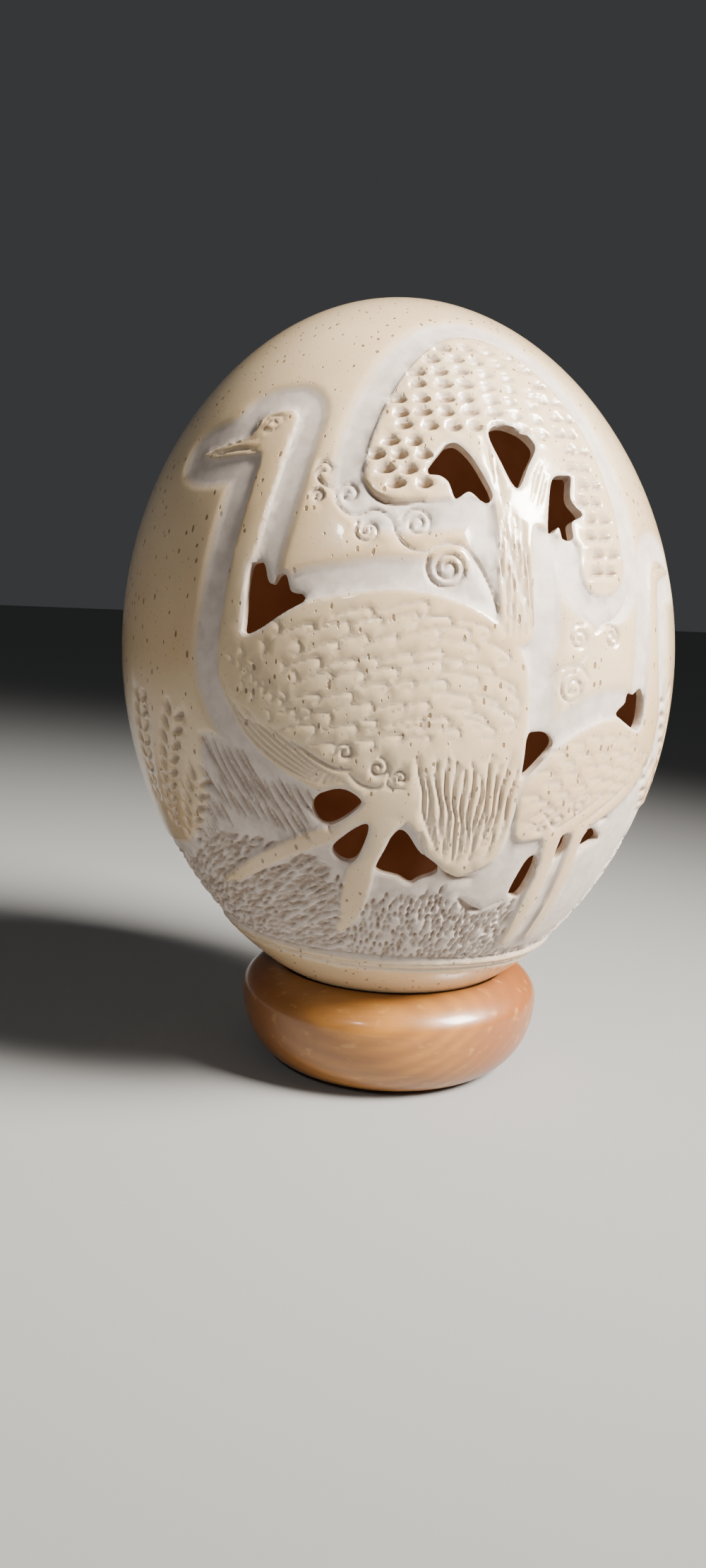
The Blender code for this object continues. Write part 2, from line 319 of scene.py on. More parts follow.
class Sheet:
    """The carving as layers of millimetres, one cell for each small patch of shell."""

    def __init__(self):
        shape = (SHEET_ROWS, SHEET_COLUMNS)
        self.figure = np.full(shape, 99.0, np.float32)
        self.cut = np.zeros(shape, np.float32)
        self.raised = np.zeros(shape, np.float32)

    def patch(self, path, reach):
        """Rows and columns within reach of a path, and the degrees of those columns."""
        first = max(0, int((path[:, 1].min() - reach) / ROW_MM))
        last = min(SHEET_ROWS, int((path[:, 1].max() + reach) / ROW_MM) + 2)
        rows = slice(first, last)
        spare = reach / max(ROW_MM_PER_DEG[rows].min(), 0.05)
        left = int(math.floor((path[:, 0].min() - spare) / COLUMN_DEG))
        right = int(math.ceil((path[:, 0].max() + spare) / COLUMN_DEG)) + 1
        right = min(right, left + SHEET_COLUMNS)
        columns = np.arange(left, right)
        return rows, columns % SHEET_COLUMNS, columns * COLUMN_DEG

    def distance(self, path, rows, degrees):
        """Millimetres from each cell to a path, and how far along the path its nearest point is."""
        scale = ROW_MM_PER_DEG[rows]
        across = degrees[None, :] * scale[:, None]
        up = ROW_ALONG[rows][:, None]
        best = np.full(across.shape, 1e9)
        share = np.zeros(across.shape)
        count = len(path) - 1
        for index in range(count):
            (start_deg, start_up), (end_deg, end_up) = path[index], path[index + 1]
            run = ((end_deg - start_deg) * scale)[:, None]
            rise = end_up - start_up
            beside = across - (start_deg * scale)[:, None]
            above = up - start_up
            t = np.clip((beside * run + above * rise) / (run * run + rise * rise + 1e-9), 0, 1)
            square = (beside - t * run) ** 2 + (above - t * rise) ** 2
            closer = square < best
            best = np.where(closer, square, best)
            share = np.where(closer, (index + t) / count, share)
        return np.sqrt(best), share

    def far_from(self, path, reach):
        """Distance to a long path over the whole sheet, out to reach."""
        far = np.full(self.cut.shape, 99.0, np.float32)
        for start in range(0, len(path) - 1, 6):
            piece = path[start : start + 7]
            rows, columns, degrees = self.patch(piece, reach)
            span, _ = self.distance(piece, rows, degrees)
            far[rows, columns] = np.minimum(far[rows, columns], span)
        return far

    def inside(self, path):
        """Cells inside a closed path, row by row from where the path crosses each row."""
        mask = np.zeros(self.cut.shape, bool)
        start, end = path[:-1], path[1:]
        first = max(0, int(path[:, 1].min() / ROW_MM))
        last = min(SHEET_ROWS, int(path[:, 1].max() / ROW_MM) + 1)
        for row in range(first, last):
            level = ROW_ALONG[row]
            hits = (start[:, 1] <= level) != (end[:, 1] <= level)
            share = (level - start[hits, 1]) / (end[hits, 1] - start[hits, 1])
            crossings = np.sort(start[hits, 0] + share * (end[hits, 0] - start[hits, 0]))
            for left, right in zip(crossings[::2], crossings[1::2]):
                cells = np.arange(math.ceil(left / COLUMN_DEG), math.floor(right / COLUMN_DEG) + 1)
                mask[row, cells % SHEET_COLUMNS] = True
        return mask

    def signed(self, outline, reach=9.0):
        """Distance to a closed outline, negative inside it."""
        path = smooth_path(outline, closed=True)
        far = self.far_from(path, reach)
        return np.where(self.inside(path), -far, far)

    def groove(self, path, width, depth, taper=0.0, layer="cut"):
        """Cuts a rounded line, or raises one in the raised layer; taper thins it towards both ends."""
        rows, columns, degrees = self.patch(path, width)
        span, share = self.distance(path, rows, degrees)
        half = width / 2
        if taper:
            half = half * (1 - taper * np.abs(2 * share - 1) ** 2)
        shape = np.where(span < half, 0.5 + 0.5 * np.cos(np.pi * span / half), 0)
        sheet = getattr(self, layer)
        strength = depth * (half / (width / 2)) if taper else depth
        sheet[rows, columns] = np.maximum(sheet[rows, columns], shape * strength)

    def line(self, points, width, depth, taper=0.0, turn=0.0, layer="cut"):
        """Cuts a smooth line through the given points, turned round the egg."""
        self.groove(smooth_path(on_sheet(points, turn)), width, depth, taper, layer)

    def gouge(self, degrees, height, length, width, depth, lean_deg, turn=0.0, flip=False, layer="cut"):
        """One short tool mark, deepest at its middle."""
        half = length / 2
        lean = math.radians(lean_deg)
        run = half * math.cos(lean)
        rise = half * math.sin(lean)
        ends = [(-run, -rise), (run, rise)]
        path = near(degrees, height, ends, turn, flip)
        rows, columns, around = self.patch(path, width)
        span, share = self.distance(path, rows, around)
        half_width = width / 2 * np.sqrt(np.clip(1 - (2 * share - 1) ** 2, 0.02, 1))
        shape = np.clip(1 - (span / half_width) ** 2, 0, 1)
        sheet = getattr(self, layer)
        strength = depth * (0.35 + 0.65 * (1 - (2 * share - 1) ** 2))
        sheet[rows, columns] = np.maximum(sheet[rows, columns], shape * strength)

    def at(self, layer, degrees, distance_along):
        """Reads a layer smoothly between its cells."""
        column = np.asarray(degrees, float) / COLUMN_DEG
        row = np.clip(np.asarray(distance_along, float) / ROW_MM - 0.5, 0, SHEET_ROWS - 1.001)
        left = np.floor(column).astype(int)
        low = np.floor(row).astype(int)
        side = column - left
        rise = row - low
        left_column = left % SHEET_COLUMNS
        right_column = (left + 1) % SHEET_COLUMNS
        lower = layer[low, left_column] * (1 - side) + layer[low, right_column] * side
        upper = layer[low + 1, left_column] * (1 - side) + layer[low + 1, right_column] * side
        return lower * (1 - rise) + upper * rise


# ---------------------------------------------------------------- the bird


def carve_head(sheet, turn):
    for points, width, depth in (
        ([(-43.5, 124), (-39.5, 123.8), (-36, 124.2), (-33, 124.1), (-29.3, 123.4)], 1.0, 0.6),
        ([(-40, 124.9), (-36, 125.6), (-32, 125.9), (-29, 125.6)], 0.7, 0.3),
        ([(-30.6, 128.6), (-29.6, 129.8), (-27.5, 130.3), (-25.4, 129.9), (-24.3, 128.7)], 0.7, 0.35),
        ([(-30, 127.9), (-28.6, 127.2), (-26.8, 127.3), (-25.4, 128.2)], 0.6, 0.28),
        ([(-29.5, 128.7), (-28, 129.3), (-26.2, 128.8)], 0.6, 0.3),
    ):
        sheet.line(points, width, depth, 0.6, turn)
    sheet.gouge(-31.7, 128.6, 2.8, 1.1, 0.4, 80, turn)
    sheet.gouge(-28.1, 128.2, 1.9, 1.3, 0.3, 0, turn, layer="raised")


def feather(sheet, degrees, height, size, lean_deg, turn):
    """One feather's edge: a long line, a hooked tip and a short return underneath."""
    lean = math.radians(lean_deg)
    rotate = np.array([[math.cos(lean), math.sin(lean)], [-math.sin(lean), math.cos(lean)]])
    offsets = size * np.array(FEATHER) @ rotate
    path = smooth_path(near(degrees, height, offsets, turn), steps=3)
    sheet.groove(path, 0.85, 0.32, 0.3)


def breast_hook(sheet, degrees, height, size, turn):
    shape = np.array([(-0.7, 1.1), (0.2, 0.8), (0.55, 0), (0.2, -0.9), (-0.5, -1.1)]) * size
    sheet.groove(smooth_path(near(degrees, height, shape, turn), steps=3), 0.85, 0.32, 0.4)


def carve_feathers(sheet, body, turn, dice):
    """Feathers fan from the breast; they lie level in the middle and droop at the rump."""
    for row in range(9):
        for column in range(10):
            degrees = -27 + FEATHER_PITCH_DEG * column + 2.6 * (row % 2) + dice.uniform(-1.2, 1.2)
            height = 93.8 - FEATHER_ROW_MM * row + dice.uniform(-0.7, 0.7)
            past = max(0.0, degrees - 7)
            height += 0.10 * (degrees + 10) - 0.013 * past * past
            lean = 15 - 3.2 * past + dice.uniform(-6, 6)
            deep = float(sheet.at(body, degrees + turn, along(height)))
            if deep > -1.6 or height < 67.5 + 0.35 * max(0.0, -degrees - 8):
                continue
            if degrees < -15:
                breast_hook(sheet, degrees, height, dice.uniform(0.9, 1.25), turn)
            else:
                feather(sheet, degrees, height, dice.uniform(0.7, 1.1), lean, turn)
    for step in range(11):
        degrees = -29 + 1.3 * step
        breast_hook(sheet, degrees + dice.uniform(-0.4, 0.4), 84.5 - 1.15 * step, 0.8, turn)


def carve_tail(sheet, turn, dice):
    for step in range(12):
        top_degrees = 4.2 + 1.62 * step
        top = 62.5 + dice.uniform(-1.5, 4.5)
        bottom = 45.2 + 0.055 * (top_degrees - TAIL_MIDDLE_DEG) ** 2 + dice.uniform(-1, 2.5)
        points = []
        for height in np.linspace(top, bottom, 6):
            droop = (top - height) / 18
            wave = 0.35 * math.sin(height * 0.55 + step)
            gather = (TAIL_MIDDLE_DEG - top_degrees) * 0.33 * droop**1.6
            points.append((top_degrees + gather + wave, height))
        sheet.line(points, 1.05, 0.65, 0.5, turn)
    for step in range(9):
        top_degrees = 5 + 2.0 * step + dice.uniform(-0.3, 0.3)
        top = 55 + dice.uniform(-3, 3)
        low_degrees = top_degrees + (TAIL_MIDDLE_DEG - top_degrees) * 0.15
        points = [(top_degrees, top), (top_degrees + 0.3, top - 3.5), (low_degrees, top - 7)]
        sheet.line(points, 0.85, 0.45, 0.6, turn)


def carve_belly(sheet, turn):
    """Long strands that follow the breast and gather at the thigh."""
    for step in range(5):
        inward = 1.55 * step
        points = [
            (-31.4 + 0.6 * inward, 81 - 1.9 * inward),
            (-29.3 + 0.75 * inward, 75.2 - 0.5 * inward),
            (-26 + 0.6 * inward, 69.8 + 0.35 * inward),
            (-21.5 + 0.35 * inward, 65.6 + 0.6 * inward),
            (-16.5 + 0.3 * inward, 62.4 + 0.42 * inward),
            (-12.0 + 0.5 * inward, 60.9 + 0.1 * inward),
        ]
        sheet.line(points[step // 2 :], 1.0, 0.45, 0.5, turn)


def carve_thigh_scroll(sheet, turn):
    for points, width, depth in (
        ([(-18.2, 69.2), (-16, 67.6), (-13.5, 65.7), (-11, 64.3), (-9, 63.8), (-7.4, 64.1)], 1.5, 0.6),
        ([(-7.8, 63.2), (-6.6, 61.6), (-5, 60.6), (-3.2, 60.3), (-1.9, 61.1)], 1.4, 0.55),
        ([(-0.9, 64.9), (-0.7, 63), (-1.2, 61.2), (0, 60.1), (1.8, 60.2)], 1.1, 0.45),
    ):
        sheet.line(points, width, depth, 0.45, turn)
    curls = ((-8.4, 67.2, 2.0, 170), (-2.8, 64.2, 2.3, 80), (1.2, 62.2, 1.7, 215))
    for degrees, height, size, start in curls:
        sheet.groove(near(degrees, height, spiral(size, 1.25, start, -1), turn), 1.2, 0.65, 0.3)


def carve_bird(sheet, turn, seed):
    dice = random.Random(seed)
    body = sheet.signed(on_sheet(BIRD, turn))
    sheet.figure = np.minimum(sheet.figure, body)
    for leg in (STRIDING_LEG, STANDING_LEG):
        sheet.figure = np.minimum(sheet.figure, sheet.signed(on_sheet(leg, turn)))
    carve_head(sheet, turn)
    carve_feathers(sheet, body, turn, dice)
    carve_tail(sheet, turn, dice)
    carve_belly(sheet, turn)
    carve_thigh_scroll(sheet, turn)
    for toe in (
        [(-41, 38), (-43.5, 36.5), (-45, 34.5)],
        [(-39, 37.5), (-38, 35), (-36, 33.5)],
        [(-40, 38), (-41, 35.5), (-41, 33.5)],
    ):
        sheet.line(toe, 1.5, 0.5, 0.5, turn, "raised")
    sheet.line([(8.3, 44), (10.5, 41.8), (13, 40.7), (16.4, 40.6)], 1.4, 1.0, 0.5, turn)
    sheet.line([(13.5, 41.2), (16.5, 42), (20, 43.6)], 1.0, 0.6, 0.6, turn)


def carve_second_bird(sheet):
    """The bird on the right, which looks the other way and goes round the edge."""
    dice = random.Random(5)
    body = sheet.signed(on_sheet(SECOND_BIRD))
    sheet.figure = np.minimum(sheet.figure, body)
    for leg in SECOND_BIRD_LEGS:
        sheet.figure = np.minimum(sheet.figure, sheet.signed(on_sheet(leg)))
    for row in range(5):
        for column in range(8):
            degrees = 27.5 + 4.3 * column + 2.2 * (row % 2)
            height = 67.5 - 2.9 * row - 0.02 * (degrees - 42) ** 2 + dice.uniform(-0.3, 0.3)
            if float(sheet.at(body, degrees, along(height))) < -1.2:
                feather(sheet, degrees, height, 0.55, -4, 0.0)
    for degrees, height, size, start in ((29.7, 50.4, 1.6, 60), (33.2, 52, 2.3, 90), (38, 54.2, 2.3, 90)):
        sheet.groove(near(degrees, height, spiral(size, 1.2, start, 1)), 1.0, 0.4, 0.3)
    for points in (
        [(24.5, 51), (27, 53), (29.5, 53.5), (33, 50), (37, 51.4), (41, 53.4), (45, 55.5), (48, 55)],
        [(39, 49.6), (44, 51.8), (49, 54.4), (54, 57)],
        [(59, 99.9), (64, 100.2), (69, 99.9)],
    ):
        sheet.line(points, 1.0, 0.4, 0.5)
    sheet.gouge(59.5, 99.3, 1.2, 0.9, 0.35, 0)
    sheet.gouge(48.3, 49.6, 3.6, 1.3, 0.9, 0)


# ---------------------------------------------------------------- tree, scrolls, ferns and turf


def leaf_chip(sheet, degrees, height, width, turn, strength):
    """A puffed leaf with a deep notch under its upper neighbour."""
    sheet.gouge(degrees, height, width, 1.6, 1.4 * strength, 6, turn)
    sheet.gouge(degrees - 0.3, height + 0.9, width * 0.8, 1.6, 0.7 * strength, 8, turn)
    sheet.gouge(degrees - 0.5, height - 1.55, width * 1.05, 1.9, 0.22 * strength, 4, turn, layer="raised")


def carve_tree(sheet, turn, seed):
    dice = random.Random(seed)
    crown = sheet.signed(on_sheet(TREE, turn))
    sheet.figure = np.minimum(sheet.figure, crown)
    for row in range(11):
        height = 143.2 - LEAF_ROW * row
        per_degree = math.radians(float(egg_radius(height)))
        pitch = LEAF_PITCH / per_degree
        lift = 0.5 if row % 2 else 0.0
        for column in range(9):
            degrees = 1.0 + pitch * (column + lift) - 4.6 * smooth_step(row, 0, 9)
            degrees += 7.2 * (1 - smooth_step(row, 0, 6))
            degrees += dice.uniform(-0.4, 0.4)
            level = height - 0.02 * max(0.0, degrees - 20) ** 1.5 + dice.uniform(-0.25, 0.25)
            deep = float(sheet.at(crown, degrees + turn, along(level)))
            if deep > -1.1 or degrees > 36 or (height < 125 and degrees > 9) or height < 113.8:
                continue
            fade = 1.0 - 0.45 * smooth_step(degrees, 12, 30)
            leaf_chip(sheet, degrees, level, dice.uniform(3.2, 4.2), turn, fade)
    for row in range(14):
        height = 99.2 + 3.35 * row
        for column in range(3):
            degrees = 39.2 + 4.2 * column + (1.6 if row % 2 else 0) + dice.uniform(-0.4, 0.4)
            if float(sheet.at(crown, degrees + turn, along(height))) < -1.0:
                leaf_chip(sheet, degrees, height, dice.uniform(3.2, 4.4), turn, 0.85)
    sheet.line([(-5.4, 116.8), (-4, 114.7), (-1.5, 113), (2, 112.6), (6, 112.9)], 1.5, 0.9, 0.5, turn)
    carve_bark(sheet, turn, dice)


def carve_bark(sheet, turn, dice):
    for step in range(7):
        start = 19.5 + 0.78 * step
        points = []
        for height in np.linspace(111 - 0.6 * abs(step - 3), 88.5, 8):
            sway = 0.28 * math.sin(height * 0.42 + 1.7 * step) + dice.uniform(-0.1, 0.1)
            points.append((start + sway + 0.03 * (100 - height) * (step - 3) / 3, height))
        sheet.line(points, 0.85, 0.5, 0.5, turn)
    for points in (
        [(20.6, 112), (20.6, 117), (21, 121.5)],
        [(19.9, 112.5), (19.7, 117), (19.6, 122), (19, 126)],
        [(26.5, 112), (29, 117), (31.5, 120.5)],
        [(27.4, 110.5), (30, 115), (32, 118.5)],
    ):
        sheet.line(points, 0.8, 0.4, 0.6, turn)


def carve_left_scrolls(sheet, turn):
    """The curled tendrils between the neck and the tree."""
    for points in (
        [(-12.4, 118.3), (-13.4, 118.9), (-14.5, 118.2), (-14, 117), (-12.6, 116), (-10.9, 115.2)],
        [(-12.4, 118.3), (-11.9, 119.4), (-13, 120.4), (-14.4, 120.2), (-15.2, 118.8)],
        [
            (-10.9, 115.2), (-10.3, 113), (-9, 111.4), (-7.2, 110.4), (-5.3, 110.9), (-3.6, 111.6),
            (-1.6, 111), (0.1, 109.4),
        ],
        [
            (-10.8, 115.2), (-9.6, 116.2), (-7.8, 116.3), (-6.6, 115), (-7.2, 113.6), (-8.8, 113.5),
            (-9.1, 114.7), (-8.1, 115),
        ],
        [(0.1, 109.4), (0.5, 107.3), (2, 105), (4.2, 103.8), (6.4, 103.6)],
    ):
        sheet.line(points, 1.1, 0.5, 0.35, turn)
    bough = [
        (6.2, 103.4), (8, 104.7), (10.5, 105), (13, 104), (15, 101.4), (16.6, 98), (17.6, 95),
        (18.2, 92.4),
    ]
    sheet.line(bough, 1.3, 0.55, 0.35, turn)
    sheet.groove(near(-14, 114.1, spiral(1.5, 1.3, 150, -1), turn), 1.0, 0.6)
    sheet.groove(near(-4.3, 107.7, spiral(2.6, 1.7, 140, 1), turn), 1.1, 0.5)
    sheet.groove(near(4.6, 108.8, spiral(3.2, 1.7, 160, -1), turn), 1.1, 0.5)
    sheet.groove(near(9.6, 100.6, spiral(4.2, 2.0, 150, 1), turn), 1.25, 0.6)


def carve_right_scrolls(sheet, turn):
    """The tendrils between the trunk and the second bird."""
    for points in (
        [
            (32.5, 90.4), (34.8, 91.2), (36.8, 90.2), (38, 88.5), (40.5, 90), (43, 90.5),
            (46, 92.5), (49, 96),
        ],
        [(37.8, 88.5), (36.5, 85.8), (34.5, 82.8), (32.5, 82.2)],
        [(27, 79), (29, 81.2), (31.8, 82.2), (34.6, 81.6), (36.2, 79.4)],
    ):
        sheet.line(points, 1.1, 0.48, 0.35, turn)
    sheet.groove(near(34.2, 87.4, spiral(2.9, 1.6, 60, 1), turn), 1.1, 0.5)
    sheet.groove(near(42.2, 87, spiral(2.5, 1.5, 110, -1), turn), 1.15, 0.65)
    sheet.groove(near(32.6, 77.8, spiral(3.5, 1.7, 80, 1), turn), 1.1, 0.5)


def fern(sheet, start, end, pairs, size, turn, flip=False):
    """A frond of paired leaflets down each side of a line."""
    (start_deg, start_height), (end_deg, end_height) = start, end
    per_degree = math.radians(float(egg_radius((start_height + end_height) / 2)))
    run = (end_deg - start_deg) * per_degree
    rise = end_height - start_height
    heading = math.degrees(math.atan2(rise, run))
    away = math.radians(heading + 90)
    for step in range(pairs):
        share = (step + 0.3) / pairs
        degrees = start_deg + share * (end_deg - start_deg)
        height = start_height + share * rise
        swell = size * (0.75 + 0.45 * math.sin(math.pi * min(1.0, share + 0.25)))
        for side in (-1, 1):
            across = side * 1.75 * swell
            middle_deg = degrees + across * math.cos(away) / per_degree
            middle_height = height + across * math.sin(away)
            lean = heading + 180 - side * 52
            sheet.gouge(middle_deg, middle_height, 3.1 * swell, 1.6 * swell, 0.95, lean, turn, flip)


def carve_ferns(sheet, turn=0.0, flip=False):
    fern(sheet, (-58.2, 77), (-61, 52), 8, 1.05, turn, flip)
    fern(sheet, (-44.5, 74.5), (-56.5, 47), 9, 1.05, turn, flip)
    fern(sheet, (-40, 61), (-51, 44), 6, 1.0, turn, flip)


def blades(sheet, starts, drop, count, dice, turn=0.0, flip=False):
    """A row of grass blades, side by side, each a tapering ridge between two cuts."""
    (first_deg, first_height), (last_deg, last_height) = starts
    for step in range(count):
        share = (step + dice.uniform(-0.2, 0.2)) / max(1, count - 1)
        degrees = first_deg + share * (last_deg - first_deg)
        height = first_height + share * (last_height - first_height) + dice.uniform(-0.7, 0.7)
        across, down = drop
        across *= dice.uniform(0.85, 1.15)
        down *= dice.uniform(0.85, 1.1)
        offsets = [(0, 0), (0.35 * across, -0.45 * down), (across, -down)]
        sheet.groove(smooth_path(near(degrees, height, offsets, turn, flip), steps=3), 1.25, 0.75, 0.35)


def carve_grass(sheet, seed, turn=0.0, flip=False):
    dice = random.Random(seed)
    blades(sheet, ((-38.5, 69), (-28.5, 66.5)), (5.2, 10.5), 7, dice, turn, flip)
    blades(sheet, ((-39, 63.5), (-33, 62)), (4.2, 8.5), 3, dice, turn, flip)
    blades(sheet, ((-31.5, 63.5), (-16.5, 59.8)), (3.8, 7.8), 10, dice, turn, flip)
    blades(sheet, ((-36.2, 59), (-19, 54.5)), (2.4, 5.2), 11, dice, turn, flip)
    blades(sheet, ((-41.5, 55.5), (-36.2, 55.2)), (1.9, 5.0), 6, dice, turn, flip)
    blades(sheet, ((-48, 47.5), (-40.6, 51)), (1.5, 4.4), 8, dice, turn, flip)


def carve_turf(sheet, seed):
    """Short tool marks over the turf: slanting under the ferns, upright under the tail."""
    dice = random.Random(seed)
    lowest = 21.2
    for row in range(17):
        height = lowest + TURF_ROW * row
        per_degree = math.radians(float(egg_radius(height)))
        pitch = TURF_PITCH / per_degree
        for step in range(int(360 / pitch)):
            degrees = -180 + pitch * (step + 0.5 * (row % 2)) + dice.uniform(-0.5, 0.5)
            level = height - BASE_LINE_TILT * math.sin(math.radians(degrees)) + dice.uniform(-0.5, 0.5)
            top = turf_marks_top(degrees)
            if level > top or dice.random() < 0.08:
                continue
            if float(sheet.at(sheet.figure, degrees, along(level))) < 0.3:
                continue
            if slanting(degrees):
                lean = 28 + dice.uniform(-9, 9)
                size = dice.uniform(2.8, 5.2)
            else:
                lean = 74 + dice.uniform(-10, 10)
                size = dice.uniform(1.7, 2.8)
            sheet.gouge(degrees, level, size, TURF_MARK_WIDTH, dice.uniform(0.55, 0.95), lean)


def slanting(degrees):
    wrapped = (degrees + 180) % 360 - 180
    return wrapped < -14 or 60 < wrapped < 165


def turf_marks_top(degrees):
    wrapped = (degrees + 180) % 360 - 180
    return float(np.interp(wrapped, [p[0] for p in TURF_MARKS], [p[1] for p in TURF_MARKS]))


def carve_base_lines(sheet):
    """The lines that run round the foot of the carving, a little tilted, as cut by hand."""
    lines = ((20.3, 1.3, 0.65, 0.25), (18.7, 0.8, 0.35, 0.35), (17.6, 1.4, 0.5, 0.2))
    for height, width, depth, wobble in lines:
        degrees = np.arange(-180, 181, 4.0)
        waver = wobble * np.sin(np.radians(5 * degrees + 40 * height))
        tilt = -BASE_LINE_TILT * np.sin(np.radians(degrees)) + waver
        path = on_sheet(np.column_stack([degrees, height + tilt]))
        far = sheet.far_from(path, 2.0)
        cut = np.where(far < width / 2, depth * (0.5 + 0.5 * np.cos(2 * np.pi * far / width)), 0)
        sheet.cut = np.maximum(sheet.cut, cut)


def carve_sheet():
    sheet = Sheet()
    carve_bird(sheet, 0.0, 1)
    carve_tree(sheet, 0.0, 2)
    carve_second_bird(sheet)
    carve_bird(sheet, BACK_BIRD_TURN, 3)
    carve_tree(sheet, BACK_TREE_TURN, 4)
    carve_left_scrolls(sheet, 0.0)
    carve_right_scrolls(sheet, 0.0)
    carve_left_scrolls(sheet, BACK_BIRD_TURN)
    carve_left_scrolls(sheet, -100.0)
    carve_right_scrolls(sheet, 56.0)
    carve_ferns(sheet)
    carve_ferns(sheet, 178.0)
    carve_ferns(sheet, 22.0, flip=True)
    carve_ferns(sheet, -154.0, flip=True)
    carve_grass(sheet, 6)
    carve_grass(sheet, 7, BACK_BIRD_TURN)
    carve_turf(sheet, 8)
    sheet.line([(14.3, 35.6), (16.2, 33.8), (18, 32.7), (20, 32.4)], 2.2, 1.2, 0.5)
    sheet.line([(20, 32.4), (23, 33.4), (26, 34.6)], 0.9, 0.3, 0.6)
    sheet.gouge(-19, 40.2, 0.9, 0.8, 1.1, 60)
    carve_base_lines(sheet)
    return sheet


def settle_levels(sheet):
    """Joins the layers: how far each place lies from the natural shell, and how pale it is cut."""
    holes = np.full(sheet.cut.shape, 99.0, np.float32)
    for outline in HOLES.values():
        holes = np.minimum(holes, sheet.signed(on_sheet(outline), 3.0))
    cliff = smooth_step(sheet.figure, 0.0, CLIFF)
    band = 1 - smooth_step(sheet.figure, BAND_WIDTH, BAND_WIDTH + BAND_FADE)
    columns = (np.arange(SHEET_COLUMNS) * COLUMN_DEG + 180) % 360 - 180
    line = along(np.interp(columns, [p[0] for p in TURF_LINE], [p[1] for p in TURF_LINE]))
    below = smooth_step(line[None, :] - ROW_ALONG[:, None], -0.8, 1.2)
    foot = along(BASE_LINE_HEIGHT - BASE_LINE_TILT * np.sin(np.radians(columns)))
    above_foot = smooth_step(ROW_ALONG[:, None] - foot[None, :], -0.5, 0.5)
    turf = below * above_foot
    band = band * above_foot
    ground = cliff * np.maximum(GROUND_DEPTH * band, TURF_DEPTH * turf)
    rounding = EDGE_ROUNDING * np.clip(1 + sheet.figure / 0.9, 0, 1) ** 2 * (sheet.figure < 0)
    rim = RIM_ROUNDING * np.clip(1 - holes / 0.7, 0, 1) ** 2 * above_foot
    level = sheet.raised - sheet.cut - ground - rounding - rim
    pale = smooth_step(sheet.figure, -0.25, 0.3) * np.maximum(smooth_step(band, 0.05, 0.8), turf)
    pale = np.maximum(pale, smooth_step(0.9 - holes, 0.0, 0.7))
    pale = np.maximum(pale, 0.75 * smooth_step(sheet.cut, 0.1, 0.4))
    return np.clip(level, -WALL + 0.6, 0.5).astype(np.float32), pale.astype(np.float32)


# ---------------------------------------------------------------- modelling helpers


def deselect_all():
    if bpy.context.object and bpy.context.object.mode != "OBJECT":
        bpy.ops.object.mode_set(mode="OBJECT")
    bpy.ops.object.select_all(action="DESELECT")


def take_up(thing):
    """Makes one object the selected and active one."""
    deselect_all()
    thing.select_set(True)
    bpy.context.view_layer.objects.active = thing


def points_of(mesh):
    co = np.empty(len(mesh.vertices) * 3)
    mesh.vertices.foreach_get("co", co)
    return co.reshape(-1, 3)


def set_points(mesh, points):
    mesh.vertices.foreach_set("co", np.ascontiguousarray(points, np.float32).ravel())
    mesh.update()


def ball(name, segments, rings):
    deselect_all()
    bpy.ops.mesh.primitive_uv_sphere_add(segments=segments, ring_count=rings, radius=1)
    thing = bpy.context.object
    thing.name = thing.data.name = name
    return thing


def apply_modifier(thing, name):
    take_up(thing)
    bpy.ops.object.modifier_apply(modifier=name)


def finish_place(thing, matrix):
    """Moves a piece to its place and leaves its origin at the world's."""
    thing.matrix_world = matrix
    take_up(thing)
    bpy.ops.object.transform_apply(location=True, rotation=True, scale=True)


def ring_axis_x():
    arm = EGG_BOTTOM_HEIGHT + EGG_LENGTH / 2 - BALL_CENTRE_HEIGHT
    return arm * math.sin(math.radians(EGG_LEAN_DEG))


def egg_placing():
    middle = Matrix.Translation((0, 0, BALL_CENTRE_HEIGHT * MM))
    lift = Matrix.Translation((0, 0, EGG_BOTTOM_HEIGHT * MM))
    lean = Matrix.Rotation(math.radians(-EGG_LEAN_DEG), 4, "Y")
    return Matrix.Translation((ring_axis_x() * MM, 0, 0)) @ middle @ lean @ middle.inverted() @ lift


# ---------------------------------------------------------------- the eggshell


def shell_normals(height):
    """Across and up parts of the shell's outward normal."""
    step = 0.02
    low = np.clip(height - step, 0, EGG_LENGTH)
    high = np.clip(height + step, 0, EGG_LENGTH)
    slope = (egg_radius(high) - egg_radius(low)) / (high - low)
    length = np.sqrt(1 + slope * slope)
    return 1 / length, -slope / length


def shape_ball(mesh, offset_of):
    """Turns a unit ball into the egg, moved along its normal by an offset in millimetres."""
    points = points_of(mesh)
    points /= np.linalg.norm(points, axis=1, keepdims=True)
    height = EGG_LENGTH / 2 * (1 + np.clip(points[:, 2], -1, 1))
    around = np.arctan2(points[:, 0], -points[:, 1])
    radius = egg_radius(height)
    across, up = shell_normals(height)
    offset = offset_of(np.degrees(around), along(height))
    at_pole = np.hypot(points[:, 0], points[:, 1]) < 1e-6
    across = np.where(at_pole, 0, across)
    up = np.where(at_pole, np.sign(points[:, 2]), up)
    radius = np.where(at_pole, 0, radius) + offset * across
    height = height + offset * up
    set_points(mesh, np.column_stack([radius * np.sin(around), -radius * np.cos(around), height]) * MM)


